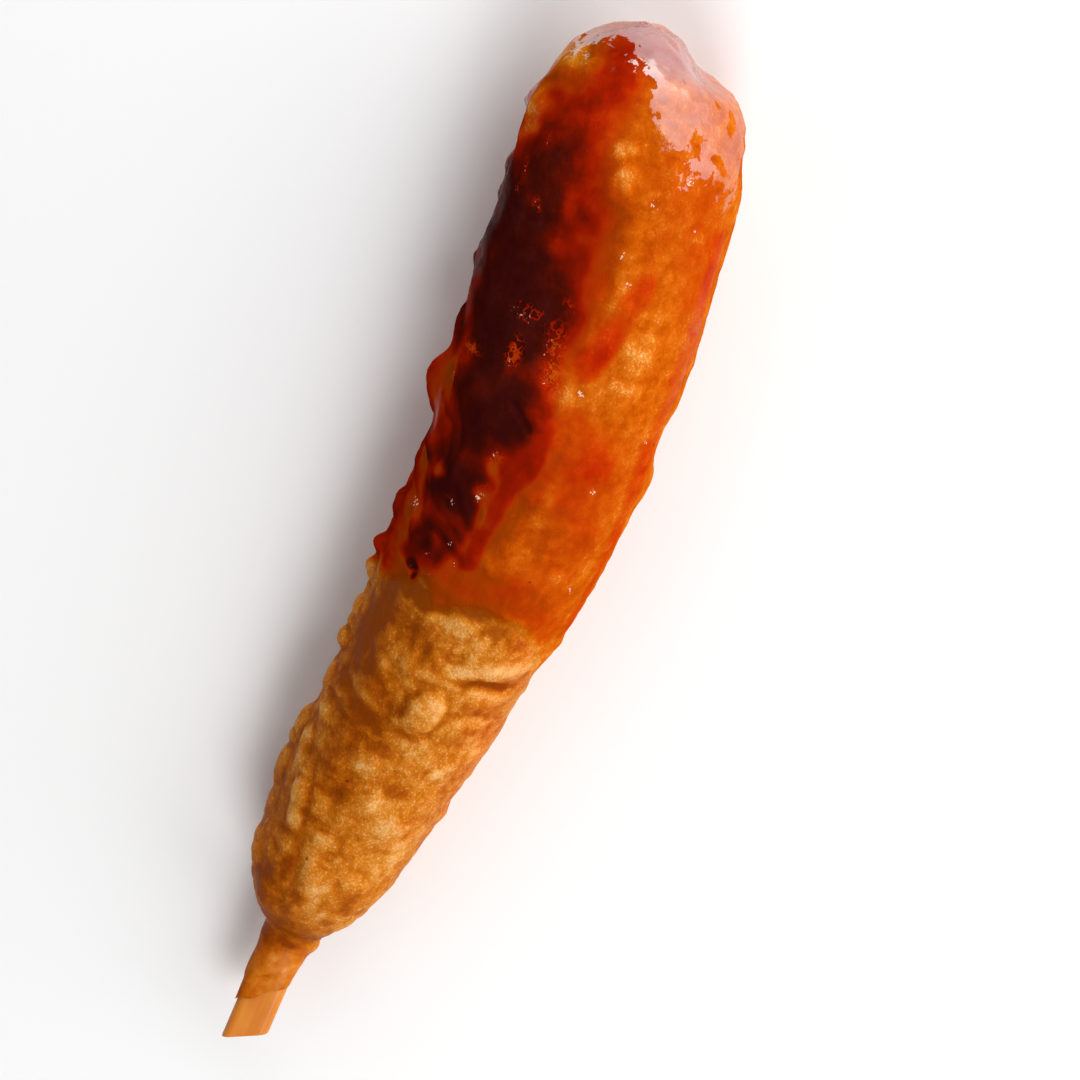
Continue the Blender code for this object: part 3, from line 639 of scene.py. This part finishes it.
# ========== the batter
def make_batter():
    """The crust as one closed surface, sunk a little where sauce hides it."""
    def spacing(along):
        return np.where(along < BARE_END, BARE_STEP, COVERED_STEP)
    along, radius = outline(-COLLAR_LENGTH, BODY_LENGTH, spacing)
    along, turn = np.meshgrid(along, turns(), indexing="ij")
    radius = np.broadcast_to(radius[:, None], along.shape)
    places, outward = plain_form(along, radius, turn)
    height, raised = crust_height(places, along, turn)
    raised = standing_out(height, raised)
    hidden = rise(along - hem_line(turn), *CRUST_SINKS)
    points = places + outward * (height - SUNK * hidden)[..., None]
    # the collar grows square towards its ragged end and closes on the stick
    closing = rise(along, *COLLAR_CLOSES)
    square = (np.sin(turn) ** 4 + np.cos(turn) ** 4) ** -0.25
    points[..., 0] += closing * layered(points, COLLAR_WAVER)
    points[..., 1] *= 1.0 + (COLLAR_END_WIDTH * square - 1.0) * closing
    points[..., 2] *= 1.0 + (COLLAR_END_HEIGHT * square - 1.0) * closing
    points = bowed(flattened(points))
    points[..., 2] = np.maximum(points[..., 2], OFF_FLOOR)
    tip = points[-1].mean(axis=0)
    end = bowed(np.array([[MM - COLLAR_LENGTH, 0, 0]]))[0]
    batter = wrapped("batter_crust", points[:-1], end, tip)
    blush = rise(turn_from(turn, -75), 0.80, 0.96) * rise(along, *BLUSH_STARTS)
    blush = blush * (BLUSH_MEAN + layered(places, BLUSH_CLOUDS, shift=0.3))
    blush = RIGHT_BLUSH * blush
    oily = rise(along, *OILY_STARTS)
    depth = np.clip(blush + HEM_STAIN * stain(along, turn) + OILY_STAIN * oily, 0, 1)
    keep(batter, raised=raised[:-1], tone=tone_of(places, along, turn)[:-1],
         depth=depth[:-1], oily=oily[:-1])
    return batter


# ========== the sauce
def run_share(along, turn, row):
    """How near each place is to a run's middle line: (1 - reach to the power
    edge) squared, where reach is the distance to the nearest stretch between
    its stations over its half width."""
    half_width, edge, stations = row[0] * MM, row[1], row[4]
    nearest = np.full(along.shape, np.inf)
    for (a0, t0), (a1, t1) in zip(stations, stations[1:]):
        ahead = along - a0 * MM
        around = nearest_turn(turn - radians(t0)) * SAUCE_RADIUS
        step_a, step_r = (a1 - a0) * MM, radians(t1 - t0) * SAUCE_RADIUS
        share = (ahead * step_a + around * step_r) / (step_a ** 2 + step_r ** 2)
        share = np.clip(share, 0.0, 1.0)
        gap = np.hypot(ahead - share * step_a, around - share * step_r)
        nearest = np.minimum(nearest, gap)
    return (1.0 - np.clip(nearest / half_width, 0.0, 1.0) ** edge) ** 2


def together(depths):
    """Runs laid over one another: the cube root of the sum of their cubes,
    a little more than the deepest."""
    return sum(depth ** 3 for depth in depths) ** (1 / 3)


def sauce_grid():
    """Distances along and turns of the sauce's rows, from just before the hem
    to the tip, spread as evenly as the outline's own length."""
    ahead, _ = outline(SAUCE_START, BODY_LENGTH, lambda a: np.full(a.shape, MM))
    share = np.interp(np.linspace(0, 1, SAUCE_ROWS),
                      np.linspace(0, 1, len(ahead)), ahead)
    share = (share - share[0]) / (share[-1] - share[0])
    start = hem_line(turns()) - HEM_OVERLAP
    along = start + share[:, None] * (ahead[-1] - start)
    return along, np.broadcast_to(turns(), along.shape)


def swayed(along, turn, places, share=1.0):
    """Places moved about a little, so that no run or spot has a ruled edge."""
    return (along + share * layered(places, SWAY_ALONG, shift=0.3),
            turn + share * layered(places, SWAY_ROUND, shift=0.6))


def flow(along, turn, places):
    """Depth of colour and thickness of the runs, and thickness of the threads,
    in millimetres; the colour is uneven, and the threads add to it."""
    at, angle = swayed(along, turn, places)
    near = [run_share(at, angle, row) for row in RUNS]
    colour = together(row[2] * share for row, share in zip(RUNS, near))
    body = together(row[3] * share for row, share in zip(RUNS, near))
    at, angle = swayed(along, turn, places, THREAD_SWAY)
    near = [run_share(at, angle, row) for row in THREADS]
    colour = colour + sum(row[2] * share for row, share in zip(THREADS, near))
    threads = sum(row[3] * share for row, share in zip(THREADS, near))
    return colour * (CLOUD_MEAN + layered(places, CLOUDS, shift=0.4)), body, threads


def make_sauce():
    """The sauce as one closed skin: rings from inside the head back to the
    hem, then forward over the crust to the tip.  A film follows the crust, a
    run lies on the evened crust, and threads and crackled crests are added."""
    along, turn = sauce_grid()
    places, outward = plain_form(along, body_radius(along), turn)
    crust, raised = crust_height(places, along, turn)
    raised = standing_out(crust, raised)
    past_hem = along - hem_line(turn)
    inside = rise(past_hem, *RUNS_START)
    colour, body, threads = flow(along, turn, places)
    at, angle = swayed(along, turn, places)

    # crackled crests: narrow wandering ridges inside the named spots
    fold = np.abs(layered(places, FOLDS, shift=0.2))
    ridge = np.clip(1.0 - fold / FOLD_WIDTH, 0.0, 1.0) ** 2
    crackle = np.clip(spots(at, angle, CRACKLED), 0.0, MOST_CRACKLED)

    evened = np.maximum(blurred(crust, EVENED_PASSES) - EVENED_DROP, crust)
    top = crust + (evened - crust) * rise(body, 0.0, RUN_EVENS) * inside
    film = (FILM + HEM_DIP) * rise(past_hem, *FILM_STARTS) - HEM_DIP
    top = np.maximum(blurred(top, FILM_PASSES), crust) + film
    top = top + MM * (body * STANDING_SHARE + threads) * inside
    top = top + FOLD_HEIGHT * ridge * np.minimum(crackle, 1.0) * inside

    depth = BASE_DEPTH - CREST_DEPTH * raised + colour - spots(at, angle, THIN)
    depth = np.clip(depth, *DEPTH_LIMITS) * stain(along, turn)

    # millimetres inside the edge of the window's light on the head
    shine = (along - round_table(turn, SHINE_EDGE)) / MM
    shine = np.clip(shine - spots(at, angle, DULL), -SHINE_REACH, SHINE_REACH)
    mirror = MIRROR_SIDE + (MIRROR_TIP - MIRROR_SIDE) * rise(along, *MIRROR_GROWS)

    outer = places + outward * top[..., None]
    inner = places + outward * (crust - SKIN_DEPTH)[..., None]
    pick = np.linspace(0, SAUCE_ROWS - 1, INNER_ROWS).round().astype(int)
    points = bowed(np.concatenate([inner[pick][::-1], outer]))
    points[..., 2] = np.maximum(points[..., 2], 0.0)
    sauce = wrapped("sauce_glaze", points[1:-1], points[0].mean(axis=0),
                    points[-1].mean(axis=0))
    stored = {"raised": CREST_SHARE * raised, "tone": tone_of(places, along, turn),
              "depth": depth, "shine": shine, "mirror": mirror, "crackle": crackle,
              "wet": np.clip(spots(at, angle, GLOSSY), 0.0, 1.0) * inside,
              # painted glints, and frost specks on the frosty streak
              "glint_and_frost": spots(along, turn, PAINTED_GLINTS_AND_FROST)}
    keep(sauce, **{name: np.concatenate([grid[pick][::-1], grid])[1:-1]
                   for name, grid in stored.items()})
    return sauce


# ========== materials
FLOAT, COLOUR = "NodeSocketFloat", "NodeSocketColor"


def group(name, takes, gives):
    """Empty shader node group with named inputs and outputs."""
    tree = bpy.data.node_groups.new(name, "ShaderNodeTree")
    for label, kind, value in takes:
        socket = tree.interface.new_socket(label, in_out="INPUT", socket_type=kind)
        socket.default_value = value
    for label, kind in gives:
        tree.interface.new_socket(label, in_out="OUTPUT", socket_type=kind)
    given = tree.nodes.new("NodeGroupOutput")
    return tree, tree.nodes.new("NodeGroupInput").outputs, given


def put(socket, value):
    """Link a socket to an output, or set it to a value."""
    if isinstance(value, bpy.types.NodeSocket):
        socket.id_data.links.new(value, socket)
    else:
        socket.default_value = value


def fill(node, values):
    """Link or set a node's inputs by their names."""
    for label, value in values.items():
        put(node.inputs[label], value)
    return node.outputs


def maths(tree, operation, *values, clamp=False):
    """One Math node."""
    node = tree.nodes.new("ShaderNodeMath")
    node.operation, node.use_clamp = operation, clamp
    for socket, value in zip(node.inputs, values):
        put(socket, value)
    return node.outputs[0]


def scaled(tree, value, by, more=0.0):
    """A value times another, plus a third."""
    return maths(tree, "MULTIPLY_ADD", value, by, more)


def between(tree, value, low, high, out_low=0.0, out_high=1.0):
    """Smooth rise of a value from low to high."""
    node = tree.nodes.new("ShaderNodeMapRange")
    node.interpolation_type = "SMOOTHSTEP"
    return fill(node, {"Value": value, "From Min": low, "From Max": high,
                       "To Min": out_low, "To Max": out_high})["Result"]


def blend(tree, factor, a, b, kind="MIX"):
    """Mix two colours."""
    node = tree.nodes.new("ShaderNodeMix")
    node.data_type, node.blend_type = "RGBA", kind
    return fill(node, {"Factor": factor, "A": a, "B": b})["Result"]


def noise(tree, place, scale, detail=2.0, roughness=0.5, stretch=None):
    """Noise on Object coordinates, in lumps per metre."""
    if stretch is not None:
        mapping = tree.nodes.new("ShaderNodeMapping")
        place = fill(mapping, {"Scale": stretch, "Vector": place})["Vector"]
    return fill(tree.nodes.new("ShaderNodeTexNoise"),
                {"Vector": place, "Scale": scale, "Detail": detail,
                 "Roughness": roughness})["Fac"]


def swing(tree, *settings):
    """Noise from half below nothing to half above."""
    return maths(tree, "SUBTRACT", noise(tree, *settings), 0.5)


def ramp(tree, value, stops, kind="B_SPLINE"):
    """Colours along a value."""
    node = tree.nodes.new("ShaderNodeValToRGB")
    node.color_ramp.interpolation = kind
    for _ in range(len(stops) - 2):
        node.color_ramp.elements.new(0.5)
    for element, (place, colour) in zip(node.color_ramp.elements, stops):
        element.position, element.color = place, (*colour, 1.0)
    return fill(node, {"Fac": value})["Color"]


def bump(tree, height, distance):
    """Bump node's normal."""
    node = tree.nodes.new("ShaderNodeBump")
    return fill(node, {"Distance": distance, "Height": height})["Normal"]


def object_place(tree):
    """Object coordinates."""
    return tree.nodes.new("ShaderNodeTexCoord").outputs["Object"]


def attribute(tree, name):
    """A piece's own stored number."""
    node = tree.nodes.new("ShaderNodeAttribute")
    node.attribute_name = name
    return node.outputs["Fac"]


def placed(tree, made, values):
    """A node group inside a material, with its inputs; gives its outputs."""
    node = tree.nodes.new("ShaderNodeGroup")
    node.node_tree = made
    return fill(node, values)


def new_material(name):
    """Material with its Principled shader."""
    made = bpy.data.materials.new(name)
    made.use_nodes = True
    return made, made.node_tree, made.node_tree.nodes["Principled BSDF"]


def burnt_specks(tree, place):
    """Small dark dots at the middles of a quarter of the cells of a Voronoi
    pattern."""
    cells = tree.nodes.new("ShaderNodeTexVoronoi")
    cells = fill(cells, {"Scale": 190.0, "Vector": place})
    draw = fill(tree.nodes.new("ShaderNodeSeparateColor"), {"Color": cells["Color"]})
    return scaled(tree, between(tree, cells["Distance"], 0.07, 0.03),
                  between(tree, draw["Red"], 0.72, 0.76))


def fried_tone_group():
    """Colour, frost mask and grain height of fried batter from how raised it is and the patches of
    tone; the darker hollows are partly painted shade."""
    tree, takes, gives = group(
        "fried_tone",
        (("Raised", FLOAT, 0.0), ("Tone", FLOAT, 0.0), ("Calm", FLOAT, 0.0)),
        (("Colour", COLOUR), ("Frost", FLOAT), ("Grain", FLOAT)))
    place = object_place(tree)
    mottle = noise(tree, place, 560.0, 4.0, 0.68)
    grain = noise(tree, place, 2300.0, 3.0, 0.65)
    lively = maths(tree, "SUBTRACT", 1.0, takes["Calm"])
    grain_swing = scaled(tree, maths(tree, "SUBTRACT", grain, 0.5), lively)
    # paler crests and darker hollows: partly the crust's own frost, partly painted shade in the
    # creases
    tone = maths(tree, "ADD", scaled(tree, takes["Raised"], 0.09, -0.03), takes["Tone"])
    tone = scaled(tree, swing(tree, place, 170.0), 0.42, tone)
    tone = scaled(tree, maths(tree, "SUBTRACT", mottle, 0.5), 0.64, tone)
    tone = scaled(tree, grain_swing, 0.4, tone)
    tone = scaled(tree, tone, 0.95, 0.435)
    colour = ramp(tree, tone, (
        (0.05, (0.27, 0.05, 0.001)), (0.26, (0.45, 0.104, 0.0018)),
        (0.43, (0.58, 0.18, 0.008)), (0.61, (0.655, 0.265, 0.034)),
        (0.8, (0.73, 0.37, 0.11)), (1.00, (0.8, 0.475, 0.2))))
    frost = between(tree, scaled(tree, grain_swing, 2.2, tone), 0.48, 1.04)
    pale, burnt = (0.82, 0.45, 0.19, 1.0), (0.11, 0.022, 0.004, 1.0)
    colour = blend(tree, scaled(tree, frost, 0.55), colour, pale)
    colour = blend(tree, scaled(tree, burnt_specks(tree, place), 0.85), colour, burnt)
    height = scaled(tree, grain, 0.65, scaled(tree, mottle, 0.6))
    fill(gives, {"Colour": colour, "Frost": frost, "Grain": scaled(tree, height, lively)})
    return tree


def sauce_veil_group():
    """What a depth of red sauce, in millimetres, does to the colour under it,
    which it also evens, and how far it covers the crust's own surface."""
    tree, takes, gives = group(
        "sauce_veil", (("Under", COLOUR, (0.6, 0.3, 0.1, 1.0)), ("Depth", FLOAT, 0.2)),
        (("Colour", COLOUR), ("Covered", FLOAT)))
    depth = takes["Depth"]
    tint = ramp(tree, maths(tree, "MULTIPLY", depth, 0.5, clamp=True), (
        (0.00, (1.00, 1.00, 1.00)), (0.05, (1.00, 0.7, 0.42)),
        (0.12, (0.95, 0.49, 0.19)), (0.28, (0.86, 0.155, 0.1)),
        (0.44, (0.5, 0.07, 0.12)), (0.66, (0.2, 0.046, 0.24)),
        (1.00, (0.11, 0.036, 0.42))), "CARDINAL")
    even = (0.5, 0.15, 0.014, 1.0)
    under = blend(tree, between(tree, depth, 0.06, 0.4, 0.0, 0.48), takes["Under"], even)
    fill(gives, {"Colour": blend(tree, 1.0, under, tint, "MULTIPLY"),
                 "Covered": between(tree, depth, 0.1, 0.5)})
    return tree


def crust_material(fried, veil):
    """Fried batter: amber in the hollows, partly painted shade, pale and frosted on the crests,
    and calmer and a little glossy on the oily collar."""
    made, tree, shader = new_material("fried_batter")
    oily = attribute(tree, "oily")
    tone = placed(tree, fried, {
        "Raised": attribute(tree, "raised"), "Tone": attribute(tree, "tone"),
        "Calm": scaled(tree, oily, 0.75)})
    over = placed(tree, veil, {"Under": tone["Colour"], "Depth": attribute(tree, "depth")})
    fill(shader, {
        "Base Color": over["Colour"],
        "Roughness": between(tree, tone["Frost"], 0.0, 1.0, 0.42, 0.55),
        "Specular IOR Level": scaled(tree, tone["Frost"], 0.12, 0.02),
        "Coat Weight": scaled(tree, oily, 0.1),
        "Coat Roughness": 0.28,
        "Normal": bump(tree, tone["Grain"], 0.30 * MM),
        "Subsurface Weight": 0.3,
        "Subsurface Radius": (1.0, 0.45, 0.15),
        "Subsurface Scale": 1.2 * MM})
    return made


def edge_of_shine(tree, place):
    """How much the head mirrors the window: the stored distance to the edge,
    made ragged by two sizes of noise and cut off sharply, times streaks and
    the stored strength."""
    ragged = scaled(tree, swing(tree, place, 200.0), 17.0, attribute(tree, "shine"))
    ragged = scaled(tree, swing(tree, place, 760.0, 3.0, 0.6), 13.0, ragged)
    inside = between(tree, ragged, -0.15, 0.25)
    streaks = noise(tree, place, 300.0, 3.0, 0.6, stretch=(1.0, 0.5, 1.0))
    inside = scaled(tree, inside, attribute(tree, "mirror"))
    return scaled(tree, inside, between(tree, streaks, 0.36, 0.6, 0.74, 1.0))


def crackled_crests(tree, place):
    """Narrow wandering crests inside the crackled places."""
    fold = maths(tree, "ABSOLUTE", swing(tree, place, 640.0, 2.0, 0.55))
    return maths(tree, "MULTIPLY", between(tree, fold, 0.085, 0.02),
                 attribute(tree, "crackle"), clamp=True)


def painted_glints_and_frost(tree, place):
    """Small bright dots painted into the colour, mostly painted glints, the more the nearer to a
    spot's middle.
    """
    near = scaled(tree, swing(tree, place, 2400.0), 2.2, attribute(tree, "glint_and_frost"))
    return between(tree, near, 0.74, 0.92)


def sauce_material(fried, veil):
    """Red sauce: clear orange where thin, deep red to maroon where it lies thick, with frosted
    crests coming through, glossy where it is wet, and with pale glints painted into its colour."""
    made, tree, shader = new_material("red_sauce")
    place = object_place(tree)
    tone = placed(tree, fried, {
        "Raised": attribute(tree, "raised"), "Tone": attribute(tree, "tone"),
        "Calm": 0.36})
    crests = crackled_crests(tree, place)

    # the sauce lies thinner over frost and crackled crests
    uneven = scaled(tree, noise(tree, place, 420.0, 4.0, 0.6), 0.6, 0.7)
    depth = scaled(tree, attribute(tree, "depth"), uneven)
    depth = scaled(tree, tone["Frost"], -0.15, depth)
    thin = scaled(tree, crests, -0.56, 1.0)
    thin = scaled(tree, attribute(tree, "crackle"), -0.14, thin)
    depth = maths(tree, "MAXIMUM", scaled(tree, depth, thin), 0.0)
    over = placed(tree, veil, {"Under": tone["Colour"], "Depth": depth})
    covered = over["Covered"]

    broken = between(tree, noise(tree, place, 520.0, 3.0, 0.6), 0.38, 0.6, 0.4, 1.2)
    wet = maths(tree, "MAXIMUM", scaled(tree, attribute(tree, "wet"), broken),
                edge_of_shine(tree, place))
    ripples = noise(tree, place, 420.0, 3.0, 0.55, stretch=(0.55, 1.0, 1.0))
    show = maths(tree, "SUBTRACT", 1.0, maths(tree, "MAXIMUM", covered, wet))
    height = scaled(tree, ripples, 0.8, scaled(tree, tone["Grain"], show))
    height = maths(tree, "ADD", height, crests)
    fill(shader, {
        # painted glints: small pale dots mixed into the sauce's colour
        "Base Color": blend(tree, scaled(tree, painted_glints_and_frost(tree, place), 0.75),
                            over["Colour"], (1.0, 0.62, 0.46, 1.0)),
        "Roughness": between(tree, covered, 0.0, 1.0, 0.48, 0.26),
        "Specular IOR Level": scaled(tree, wet, 0.25),
        "Coat Weight": wet,
        "Coat Roughness": 0.13,
        "Coat IOR": 3.2,
        "Normal": bump(tree, height, 0.24 * MM),
        "Coat Normal": bump(tree, height, 0.16 * MM),
        "Subsurface Weight": 0.2,
        "Subsurface Radius": (1.0, 0.2, 0.05),
        "Subsurface Scale": 1.6 * MM})
    return made


def wood_material():
    """Oil-soaked wood: orange-tan with faint lines along the stick."""
    made, tree, shader = new_material("oiled_wood")
    place = object_place(tree)
    lines = noise(tree, place, 1100.0, 3.0, 0.55, stretch=(0.05, 1.0, 1.0))
    stains = noise(tree, place, 240.0, 3.0, stretch=(0.5, 1.0, 1.0))
    colour = ramp(tree, scaled(tree, lines, 0.35, scaled(tree, stains, 0.65)), (
        (0.25, (0.54, 0.135, 0.006)), (0.5, (0.65, 0.19, 0.011)),
        (0.8, (0.74, 0.29, 0.036))))
    fill(shader, {
        "Base Color": colour,
        "Roughness": 0.42,
        "Specular IOR Level": 0.3,
        "Normal": bump(tree, lines, 0.06 * MM),
        "Subsurface Weight": 0.15,
        "Subsurface Radius": (1.0, 0.4, 0.1),
        "Subsurface Scale": 1.0 * MM})
    return made


def floor_material():
    """Matt pale floor."""
    made, _, shader = new_material("pale_floor")
    fill(shader, {"Base Color": (0.93, 0.93, 0.93, 1.0), "Roughness": 0.7})
    return made


# ========== camera, light, floor
def add_camera():
    """Camera over the body, tilted towards the head and rolled.  Its matrix
    holds the picture's right, up and back directions and its place."""
    tilt, roll = radians(VIEW_TILT), radians(VIEW_ROLL)
    back = np.array([np.sin(tilt), 0.0, np.cos(tilt)])
    ahead = np.array([np.cos(tilt), 0.0, -np.sin(tilt)])
    side = np.cross(back, ahead)
    right = np.cos(roll) * ahead - np.sin(roll) * side
    up = np.sin(roll) * ahead + np.cos(roll) * side
    place = np.array(VIEW_TARGET) + VIEW_DISTANCE * back
    data = bpy.data.cameras.new("view")
    data.lens = LENS
    data.sensor_width = SENSOR_WIDTH
    camera = shown("view", data)
    camera.matrix_world = Matrix([*np.stack([right, up, back, place], 1), (0, 0, 0, 1)])
    bpy.context.scene.camera = camera


def add_softbox(name, direction, distance, size, power):
    """Oblong area light that faces the body's middle."""
    data = bpy.data.lights.new(name, "AREA")
    data.shape, data.energy = "RECTANGLE", power
    data.size, data.size_y = size
    lamp = shown(name, data)
    towards = Vector(direction).normalized()
    lamp.location = Vector(BODY_MIDDLE) + towards * distance
    lamp.rotation_euler = towards.to_track_quat("Z", "Y").to_euler()


def add_surroundings():
    """Floor, a wide low window, soft light from the left and from over the
    tail, and a dim room."""
    add_softbox("window", (0.8, -0.46, 0.5), 1.1, (3.2, 1.4), 32.5)
    add_softbox("fill", (-0.1, 0.85, 0.8), 1.5, (1.5, 1.5), 3.6)
    add_softbox("tail_side", (-0.46, -0.42, 0.78), 1.4, (0.7, 0.7), 12.0)
    world = bpy.data.worlds.new("room")
    world.use_nodes = True
    fill(world.node_tree.nodes["Background"], {"Color": (1, 1, 1, 1), "Strength": 0.03})
    bpy.context.scene.world = world
    mesh = bpy.data.meshes.new("floor")
    corners = [(x * FLOOR_HALF, y * FLOOR_HALF, 0)
               for x, y in ((-1, -1), (1, -1), (1, 1), (-1, 1))]
    mesh.from_pydata(corners, [], [(0, 1, 2, 3)])
    floor = shown("floor", mesh)
    floor.location.z = -FLOOR_GAP
    mesh.materials.append(floor_material())
    bpy.context.scene.view_settings.view_transform = "Standard"


# ========== putting up
def build():
    """Make every piece, its finish, the camera and the light."""
    add_camera()
    fried, veil = fried_tone_group(), sauce_veil_group()
    batter = make_batter()
    batter.data.materials.append(crust_material(fried, veil))
    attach(batter, "root")
    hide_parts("batter")
    sauce = make_sauce()
    sauce.data.materials.append(sauce_material(fried, veil))
    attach(sauce, "root")
    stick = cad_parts["stick"]
    wood = wood_material()
    if stick.material_slots:
        stick.material_slots[0].material = wood
    else:
        stick.data.materials.append(wood)
    add_surroundings()


build()
